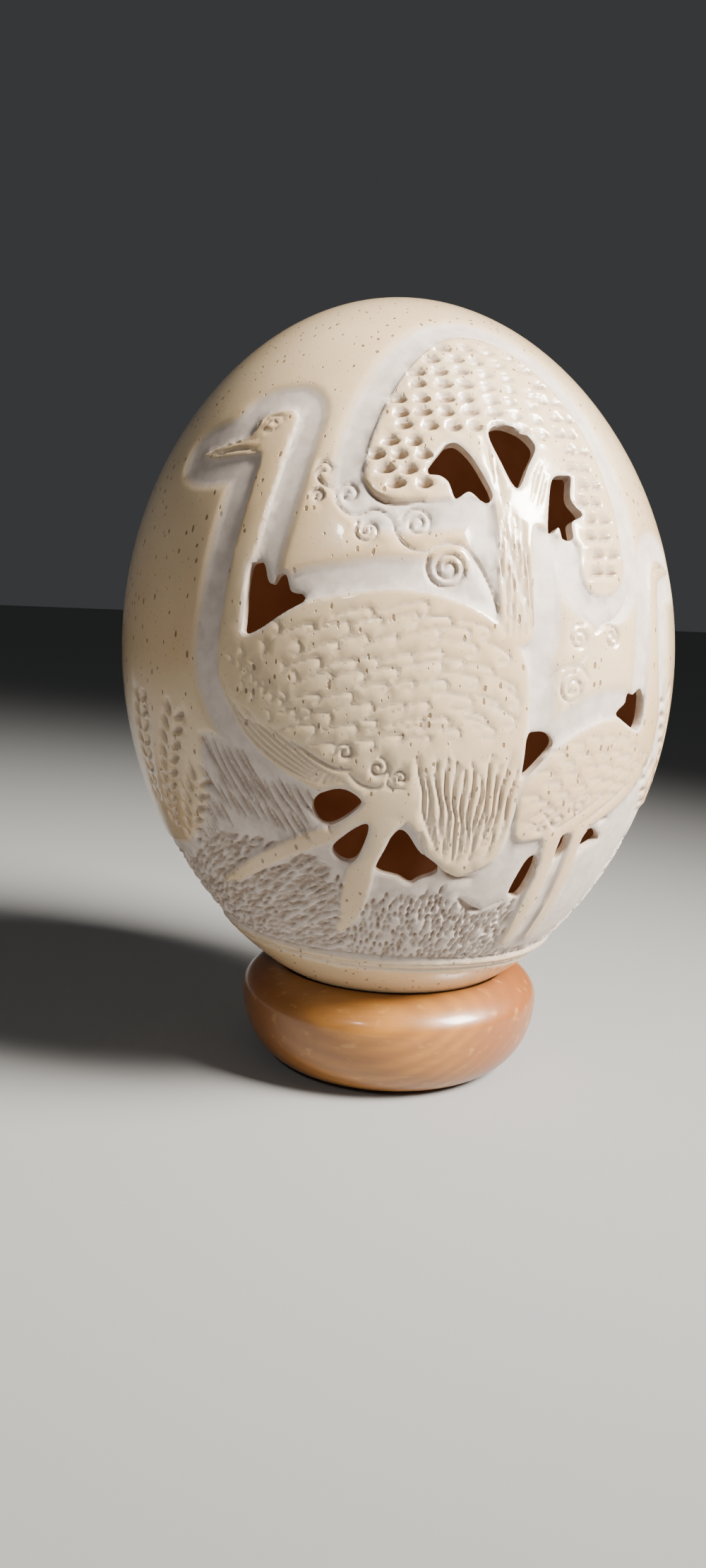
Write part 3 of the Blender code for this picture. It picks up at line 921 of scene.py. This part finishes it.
def hole_plug(name, outline):
    """A straight plug in the shape of a hole: a filled circle reshaped, then extruded."""
    hand = np.array(outline, float)
    centre_deg, centre_height = hand.mean(axis=0)
    angle = math.radians(centre_deg)
    across, up_part = (float(v) for v in shell_normals(np.array(centre_height)))
    normal = Vector((math.sin(angle) * across, -math.cos(angle) * across, up_part))
    path = smooth_path(hand, closed=True, steps=5)[:-1]
    radius = egg_radius(path[:, 1])
    turn = np.radians(path[:, 0])
    places = np.column_stack([radius * np.sin(turn), -radius * np.cos(turn), path[:, 1]]) * MM
    centre = Vector(places.mean(axis=0))
    deselect_all()
    bpy.ops.mesh.primitive_circle_add(vertices=len(places), radius=1, fill_type="NGON")
    plug = bpy.context.object
    plug.name = name
    for vertex, place in zip(plug.data.vertices, places):
        offset = Vector(place) - centre
        flat = offset - normal * offset.dot(normal)
        vertex.co = centre + flat - normal * PLUG_DEPTH * MM
    bpy.ops.object.mode_set(mode="EDIT")
    bpy.ops.mesh.select_all(action="SELECT")
    shift = normal * PLUG_LENGTH * MM
    bpy.ops.mesh.extrude_region_move(TRANSFORM_OT_translate={"value": shift})
    bpy.ops.mesh.select_all(action="SELECT")
    bpy.ops.mesh.normals_make_consistent(inside=False)
    bpy.ops.object.mode_set(mode="OBJECT")
    return plug


def joined(things, name):
    take_up(things[0])
    for thing in things:
        thing.select_set(True)
    bpy.ops.object.join()
    things[0].name = name
    return things[0]


def cut_away(thing, cutter, name):
    cut = thing.modifiers.new(name, "BOOLEAN")
    cut.operation = "DIFFERENCE"
    cut.solver = "MANIFOLD"
    cut.object = cutter
    apply_modifier(thing, name)
    bpy.data.objects.remove(cutter, do_unlink=True)


def make_eggshell(sheet, level, pale):
    shell = ball("eggshell_carved", SHELL_SEGMENTS, SHELL_RINGS)
    finer = shell.modifiers.new("finer", "SUBSURF")
    finer.subdivision_type = "SIMPLE"
    finer.levels = 2
    apply_modifier(shell, "finer")
    shape_ball(shell.data, lambda degrees, distance: sheet.at(level, degrees, distance) - SKIN)
    core = ball("egg_hollow", CORE_SEGMENTS, CORE_RINGS)
    shape_ball(core.data, lambda degrees, distance: np.full(degrees.shape, -WALL))
    cut_away(shell, core, "hollow")
    plugs = [hole_plug("plug_" + name, outline) for name, outline in HOLES.items()]
    cut_away(shell, joined(plugs, "hole_plugs"), "pierce")
    thin = shell.modifiers.new("thin", "DECIMATE")
    count = sum(len(polygon.vertices) - 2 for polygon in shell.data.polygons)
    thin.ratio = min(1.0, MOST_TRIANGLES / count)
    apply_modifier(shell, "thin")
    finish_shell_surface(shell, sheet, pale, level)
    finish_place(shell, egg_placing())
    return shell


def egg_places(points):
    """Each point's degrees round the egg, distance along it, and depth below the natural shell."""
    points = points / MM
    degrees = np.degrees(np.arctan2(points[:, 0], -points[:, 1]))
    height = np.clip(points[:, 2], 0, EGG_LENGTH)
    radius = np.hypot(points[:, 0], points[:, 1])
    across, up = shell_normals(np.clip(height, 0.5, EGG_LENGTH - 0.5))
    depth = (egg_radius(height) - radius) * across
    true_height = np.clip(height + depth * up, 0, EGG_LENGTH)
    near_pole = (height < 4) | (height > EGG_LENGTH - 4)
    rise = np.where(height > EGG_LENGTH / 2, EGG_LENGTH - points[:, 2], points[:, 2])
    depth = np.where(near_pole, np.minimum(depth, rise), depth)
    return degrees, along(true_height), depth


def finish_shell_surface(shell, sheet, pale, level):
    """Marks which faces are skin, cut edge and inside, and lays the sheet flat for the bake."""
    mesh = shell.data
    degrees, distance, depth = egg_places(points_of(mesh))
    skin_level = -sheet.at(level, degrees, distance)
    shade = mesh.attributes.new("pale", "FLOAT", "POINT")
    shade.data.foreach_set("value", sheet.at(pale, degrees, distance).astype(np.float32))
    # The depth of the cut lines, which the skin material turns into painted shade in the grooves.
    groove_shade_depth = mesh.attributes.new("cut", "FLOAT", "POINT")
    groove_shade_depth.data.foreach_set("value", sheet.at(sheet.cut, degrees, distance).astype(np.float32))
    loops = np.empty(len(mesh.loops), np.int32)
    mesh.loops.foreach_get("vertex_index", loops)
    starts = np.empty(len(mesh.polygons), np.int32)
    totals = np.empty(len(mesh.polygons), np.int32)
    mesh.polygons.foreach_get("loop_start", starts)
    mesh.polygons.foreach_get("loop_total", totals)
    owner = np.repeat(np.arange(len(starts)), totals)
    below_skin = depth - skin_level
    most_below = np.zeros(len(starts))
    np.maximum.at(most_below, owner, below_skin[loops])
    least_depth = np.full(len(starts), 99.0)
    np.minimum.at(least_depth, owner, depth[loops])
    inside = least_depth > WALL - EDGE_MARGIN
    wall = ~inside & (most_below > EDGE_MARGIN)
    slots = np.where(inside, 2, np.where(wall, 1, 0)).astype(np.int32)
    mesh.materials.clear()
    for material in (shell_skin(), cut_edge(), inner_shell()):
        mesh.materials.append(material)
    mesh.polygons.foreach_set("material_index", slots)
    lay_out_uv(mesh, degrees, distance, loops, owner, slots)
    take_up(shell)
    bpy.ops.object.shade_smooth_by_angle(angle=math.radians(55))


def lay_out_uv(mesh, degrees, distance, loops, owner, slots):
    """Outside on the upper part of the sheet, the rest below, each unrolled round the egg."""
    corner = degrees[loops].copy()
    highest = np.full(len(slots), -999.0)
    np.maximum.at(highest, owner, corner)
    lowest = np.full(len(slots), 999.0)
    np.minimum.at(lowest, owner, corner)
    over_seam = (highest - lowest > 180)[owner]
    corner = np.where(over_seam & (corner < 0), corner + 360, corner)
    u = 0.005 + 0.97 * (corner + 180) / 365
    v = distance[loops] / WHOLE_ALONG
    start, tall = BAKE_SHELVES[slots[owner]].T
    v = start + tall * v
    layer = mesh.uv_layers.new(name="OFBake")
    layer.data.foreach_set("uv", np.column_stack([u, v]).astype(np.float32).ravel())


# ---------------------------------------------------------------- the ring


def arc(centre, across, up, start, end, steps):
    angle = np.radians(np.linspace(start, end, steps + 1))
    return np.column_stack([centre[0] + across * np.cos(angle), centre[1] + up * np.sin(angle)])


def seat_curve(inner, outer, steps):
    """The dish under the shell, from the lip inwards, with a hair's gap."""
    radius = np.linspace(outer, inner, steps + 1)
    lower = TABLE_HEIGHT < EGG_LENGTH / 3
    height = np.interp(radius, TABLE_RADIUS[lower], TABLE_HEIGHT[lower])
    middle = BALL_CENTRE_HEIGHT - EGG_BOTTOM_HEIGHT
    stretch = 1 + SEAT_GAP / np.hypot(radius, height - middle)
    return np.column_stack([radius * stretch, (height - middle) * stretch + middle + EGG_BOTTOM_HEIGHT])


def ring_section():
    """The ring's section, round from the lip: outside, foot, bore and seat."""
    bulge = RING_WIDTH / 2 - FOOT_RADIUS
    seat = seat_curve(BORE_RADIUS, LIP_RADIUS, 12)
    lip = np.array([[LIP_RADIUS + 0.35, seat[0, 1] + 0.16], [LIP_RADIUS + 0.8, seat[0, 1] + 0.14]])
    upper = arc((FOOT_RADIUS, BULGE_HEIGHT), bulge, RING_HEIGHT - BULGE_HEIGHT, 62, 0, 16)
    lower = arc((FOOT_RADIUS, BULGE_HEIGHT), bulge, BULGE_HEIGHT, 0, -90, 26)[1:]
    foot = np.array([(1.4, 0.0), (1.0, 0.08), (0.08, 1.0), (0.0, 1.4), (0.0, 8.0)]) + (BORE_RADIUS, 0)
    return np.vstack([lip, upper, lower, foot, seat[::-1]])


def make_ring():
    """A filled section, spun round the ring's axis."""
    section = ring_section()
    deselect_all()
    bpy.ops.mesh.primitive_circle_add(vertices=len(section), radius=1, fill_type="NOTHING")
    ring = bpy.context.object
    ring.name = ring.data.name = "ring_turned"
    for vertex, (radius, height) in zip(ring.data.vertices, section):
        vertex.co = (radius * MM, 0, height * MM)
    bpy.ops.object.mode_set(mode="EDIT")
    bpy.ops.mesh.select_all(action="SELECT")
    bpy.ops.mesh.spin(steps=RING_TURNS, angle=2 * math.pi, center=(0, 0, 0), axis=(0, 0, 1))
    bpy.ops.mesh.select_all(action="SELECT")
    bpy.ops.mesh.remove_doubles(threshold=0.000005)
    bpy.ops.mesh.normals_make_consistent(inside=False)
    bpy.ops.object.mode_set(mode="OBJECT")
    ring.data.materials.append(turned_wood())
    take_up(ring)
    bpy.ops.object.shade_smooth_by_angle(angle=math.radians(50))
    finish_place(ring, Matrix.Translation((ring_axis_x() * MM, 0, 0)))
    return ring


# ---------------------------------------------------------------- materials


class Wire:
    """A socket in a material, so that sums on sockets are written as sums."""

    def __init__(self, paint, socket):
        self.paint = paint
        self.socket = socket

    def sum_of(self, operation, first, second=None):
        inputs = {0: first} if second is None else {0: first, 1: second}
        return self.paint.node("ShaderNodeMath", inputs, operation=operation)

    def __add__(self, other):
        return self.sum_of("ADD", self, other)

    def __sub__(self, other):
        return self.sum_of("SUBTRACT", self, other)

    def __mul__(self, other):
        return self.sum_of("MULTIPLY", self, other)

    def __rsub__(self, other):
        return self.sum_of("SUBTRACT", other, self)

    def __pow__(self, other):
        return self.sum_of("POWER", self, other)

    __radd__ = __add__

    def beside(self, name):
        """Another output of the same node."""
        return Wire(self.paint, self.socket.node.outputs[name])

    def sine(self):
        return self.sum_of("SINE", self)

    def between(self, low, high):
        """0 at low, 1 at high, eased."""
        inputs = {"Value": self, "From Min": low, "From Max": high}
        return self.paint.node("ShaderNodeMapRange", inputs, interpolation_type="SMOOTHSTEP", clamp=True)


class Paint:
    """One material and the nodes it is made of."""

    def __init__(self, name):
        self.material = bpy.data.materials.new(name)
        self.material.use_nodes = True
        self.tree = self.material.node_tree
        self.tree.nodes.clear()

    def node(self, kind, inputs=None, output=0, **settings):
        node = self.tree.nodes.new(kind)
        for key, value in settings.items():
            setattr(node, key, value)
        for key, value in (inputs or {}).items():
            if isinstance(value, Wire):
                self.tree.links.new(value.socket, node.inputs[key])
            else:
                node.inputs[key].default_value = value
        return Wire(self, node.outputs[output])

    def place(self, scale=(1, 1, 1), turn=(0, 0, 0), shift=(0, 0, 0)):
        spot = self.node("ShaderNodeTexCoord", output="Object")
        inputs = {"Vector": spot, "Location": shift, "Rotation": turn, "Scale": scale}
        return self.node("ShaderNodeMapping", inputs)

    def noise(self, vector, scale, detail=3.0, roughness=0.5, distortion=0.0):
        inputs = {"Vector": vector, "Scale": scale, "Detail": detail}
        inputs |= {"Roughness": roughness, "Distortion": distortion}
        return self.node("ShaderNodeTexNoise", inputs, output="Fac")

    def attribute(self, name):
        return self.node("ShaderNodeAttribute", attribute_name=name, output="Fac")

    def blend(self, factor, first, second):
        """Mixes two colours; the Mix node keeps its colour sockets at 6 and 7."""
        colours = [value if isinstance(value, Wire) else (*value, 1) for value in (first, second)]
        inputs = {0: factor, 6: colours[0], 7: colours[1]}
        return self.node("ShaderNodeMix", inputs, output=2, data_type="RGBA")

    def bump(self, height, strength, distance, under=None):
        inputs = {"Height": height, "Strength": strength, "Distance": distance}
        if under:
            inputs["Normal"] = under
        return self.node("ShaderNodeBump", inputs)

    def surface(self, **sockets):
        inputs = {name.replace("_", " "): value for name, value in sockets.items()}
        shader = self.node("ShaderNodeBsdfPrincipled", inputs)
        out = self.tree.nodes.new("ShaderNodeOutputMaterial")
        self.tree.links.new(shader.socket, out.inputs["Surface"])
        return self.material


def pore_marks(paint, scale, low, high, stretch=0.4, shift=(0, 0, 0)):
    """Scattered upright pores: 1 in a pore and 0 between them."""
    spot = paint.place(scale=(1, 1, stretch), shift=shift)
    ragged = paint.node("ShaderNodeTexNoise", {"Vector": spot, "Scale": 900.0, "Detail": 2.0}, "Color")
    nudged = paint.node("ShaderNodeMix", {0: 0.0006, 4: spot, 5: ragged}, output=1, data_type="VECTOR")
    span = paint.node("ShaderNodeTexVoronoi", {"Vector": nudged, "Scale": scale}, output="Distance")
    pick = paint.node("ShaderNodeSeparateColor", {0: span.beside("Color")})
    size = pick.between(0.35, 1.0) * high + low
    return 1 - (span - size).between(-0.035, 0.035)


def shell_skin():
    """Glossy cream shell with brown pores, and the paler, duller ground where it is cut, darkened along
    the cut lines as painted shade.
    """
    paint = Paint("shell_skin")
    pale = paint.attribute("pale")
    cut = paint.attribute("cut")
    spot = paint.place()
    cloud = paint.noise(spot, 22.0, 4.0)
    blush = paint.noise(paint.place(shift=(0.3, 0.1, 0.2)), 34.0, 3.0)
    cream = paint.blend(cloud.between(0.35, 0.7), (0.63, 0.455, 0.265), (0.72, 0.56, 0.355))
    cream = paint.blend(blush.between(0.52, 0.75) * 0.4, cream, (0.70, 0.46, 0.31))
    pores = pore_marks(paint, 700.0, 0.07, 0.16, 0.5)
    specks = pore_marks(paint, 1200.0, 0.02, 0.2, 0.7, (0.05, 0.02, 0.01))
    kept = 1 - pale
    cream = paint.blend(pores * 0.8, cream, (0.16, 0.085, 0.04))
    cream = paint.blend(specks * 0.4, cream, (0.36, 0.22, 0.12))
    grain = paint.noise(spot, 260.0, 4.0, 0.6)
    ground = paint.blend(grain.between(0.3, 0.7), (0.52, 0.44, 0.385), (0.64, 0.555, 0.49))
    # Painted shade: the ground is darkened along the cut lines, standing in for the shade that falls in
    # the grooves.
    ground = paint.blend(cut.between(0.1, 0.8) * 0.75, ground, (0.27, 0.185, 0.125))
    colour = paint.blend(pale, cream, ground)
    rough = 0.2 + pale * 0.28 + grain * 0.08
    fine = paint.noise(spot, 900.0, 3.0)
    dimples = kept * pores
    normal = paint.bump(fine * 0.25 + grain * 0.5 * pale, 0.35, 0.0002)
    normal = paint.bump(1 - dimples, 0.7, 0.00025, normal)
    return paint.surface(
        Base_Color=colour, Roughness=rough, Normal=normal, IOR=1.5, Coat_Weight=kept * 0.6,
        Coat_Roughness=0.05, Subsurface_Weight=0.05, Subsurface_Radius=(0.002, 0.001, 0.0006),
    )


def cut_edge():
    """The sawn thickness of the shell round each hole."""
    paint = Paint("cut_edge")
    grain = paint.noise(paint.place(), 500.0, 4.0)
    colour = paint.blend(grain.between(0.3, 0.7), (0.52, 0.40, 0.31), (0.66, 0.55, 0.45))
    return paint.surface(Base_Color=colour, Roughness=0.6, Normal=paint.bump(grain, 0.3, 0.0002))


def inner_shell():
    """The inside, warm with the light that soaks through the shell, painted on as its colour and a faint
    glow.
    """
    paint = Paint("inner_shell")
    cloud = paint.noise(paint.place(), 60.0, 3.0)
    colour = paint.blend(cloud.between(0.3, 0.7), (0.27, 0.125, 0.055), (0.35, 0.17, 0.08))
    # Painted light: a faint emission standing in for the light that soaks through the shell.
    glow = paint.blend(cloud.between(0.3, 0.7), (0.085, 0.028, 0.010), (0.12, 0.042, 0.016))
    return paint.surface(Base_Color=colour, Roughness=0.75, Emission_Color=glow, Emission_Strength=0.4)


def turned_wood():
    """Varnished wood, its growth rings lying along X, so that they show as arcs at the sides; darker to
    the left as painted shade and lighter across the middle as painted light.
    """
    paint = Paint("turned_wood")
    spot = paint.place()
    slow = paint.noise(paint.place(scale=(0.35, 1, 1)), 30.0, 3.0, 0.5, 0.4)
    parts = paint.node("ShaderNodeSeparateXYZ", {0: spot})
    y_off = parts.beside("Y") + parts * 0.22 - 0.012
    z_off = parts.beside("Z") - parts * 0.1 + 0.022
    reach = (y_off * y_off + z_off * z_off) ** 0.5 + slow * 0.006
    rings = (reach * 2100.0).sine() * 0.5 + 0.5
    wide = (reach * 620.0 + 1.0).sine() * 0.5 + 0.5
    fibre = paint.noise(paint.place(scale=(0.06, 1, 1)), 900.0, 4.0, 0.6)
    fleck = paint.noise(paint.place(scale=(0.5, 1, 1)), 420.0, 2.0)
    # Painted shade: darker towards the left, where the ring turns away from the light.
    side = parts.between(-0.03, 0.035)
    base = paint.blend(side, (0.20, 0.07, 0.015), (0.27, 0.085, 0.02))
    # Painted light: a brighter band across the middle of the ring.
    middle = 1 - (parts * parts * 1000.0).between(0.0, 0.75)
    base = paint.blend(middle * 0.75, base, (0.46, 0.20, 0.035))
    base = paint.blend(rings * 0.42, base, (0.20, 0.075, 0.02))
    base = paint.blend(wide * 0.3, base, (0.24, 0.09, 0.022))
    base = paint.blend(fibre.between(0.42, 0.7) * 0.3, base, (0.20, 0.08, 0.025))
    base = paint.blend(fleck.between(0.6, 0.75) * 0.3, base, (0.60, 0.34, 0.11))
    normal = paint.bump(fibre, 0.12, 0.0002)
    return paint.surface(
        Base_Color=base, Roughness=0.34 + fibre * 0.12, Normal=normal, Coat_Weight=0.5,
        Coat_Roughness=0.16, IOR=1.5,
    )


def floor_paint():
    paint = Paint("pale_floor")
    return paint.surface(Base_Color=(0.3, 0.3, 0.3, 1), Roughness=0.8)


# ---------------------------------------------------------------- floor, light and camera


def make_floor():
    deselect_all()
    bpy.ops.mesh.primitive_plane_add(size=8, location=(0, 0, -0.0001))
    floor = bpy.context.object
    floor.name = "floor"
    floor.data.materials.append(floor_paint())


def soft_light(name, location, target, size, power, colour, spread_deg=180):
    data = bpy.data.lights.new(name, "AREA")
    data.shape = "RECTANGLE"
    data.size, data.size_y = size
    data.energy = power
    data.color = colour
    data.spread = math.radians(spread_deg)
    lamp = bpy.data.objects.new(name, data)
    bpy.context.scene.collection.objects.link(lamp)
    lamp.location = location
    lamp.rotation_euler = (Vector(target) - Vector(location)).to_track_quat("-Z", "Y").to_euler()


def make_lights():
    soft_light("window", (0.6, -0.26, 0.6), (0, 0, 0.1), (0.32, 0.32), 4.4, (1.0, 0.95, 0.87), 50)
    soft_light("small_lamp", (-0.27, -0.62, 0.56), (0, 0, 0.1), (0.06, 0.05), 0.9, (1.0, 0.98, 0.95))
    soft_light("left_fill", (-0.7, -0.45, 0.25), (0, 0, 0.08), (0.6, 0.6), 0.12, (0.9, 0.94, 1.0))
    world = bpy.data.worlds.new("room")
    world.use_nodes = True
    world.node_tree.nodes["Background"].inputs["Color"].default_value = (0.9, 0.92, 0.95, 1)
    world.node_tree.nodes["Background"].inputs["Strength"].default_value = 0.05
    bpy.context.scene.world = world


def make_camera():
    """Close in front, a little above the middle of the egg, tipped down and slightly rolled."""
    data = bpy.data.cameras.new("camera")
    data.sensor_width = 36
    data.lens = 27.04
    data.clip_start = 0.01
    camera = bpy.data.objects.new("camera", data)
    bpy.context.scene.collection.objects.link(camera)
    aim = (
        Matrix.Rotation(CAMERA_YAW, 3, "Z")
        @ Matrix.Rotation(CAMERA_PITCH, 3, "X")
        @ Matrix.Rotation(CAMERA_ROLL, 3, "Y")
        @ Matrix.Rotation(math.pi / 2, 3, "X")
    )
    place = Matrix.Translation((ring_axis_x() * MM, CAMERA_BACK, CAMERA_HEIGHT))
    camera.matrix_world = place @ aim.to_4x4()
    bpy.context.scene.camera = camera


# ---------------------------------------------------------------- the whole thing


def main():
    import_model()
    make_camera()
    sheet = carve_sheet()
    level, pale = settle_levels(sheet)
    shell = make_eggshell(sheet, level, pale)
    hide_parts("eggshell")
    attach(shell, "root")
    ring = make_ring()
    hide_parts("ring_stand")
    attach(ring, "root")
    make_floor()
    make_lights()


main()
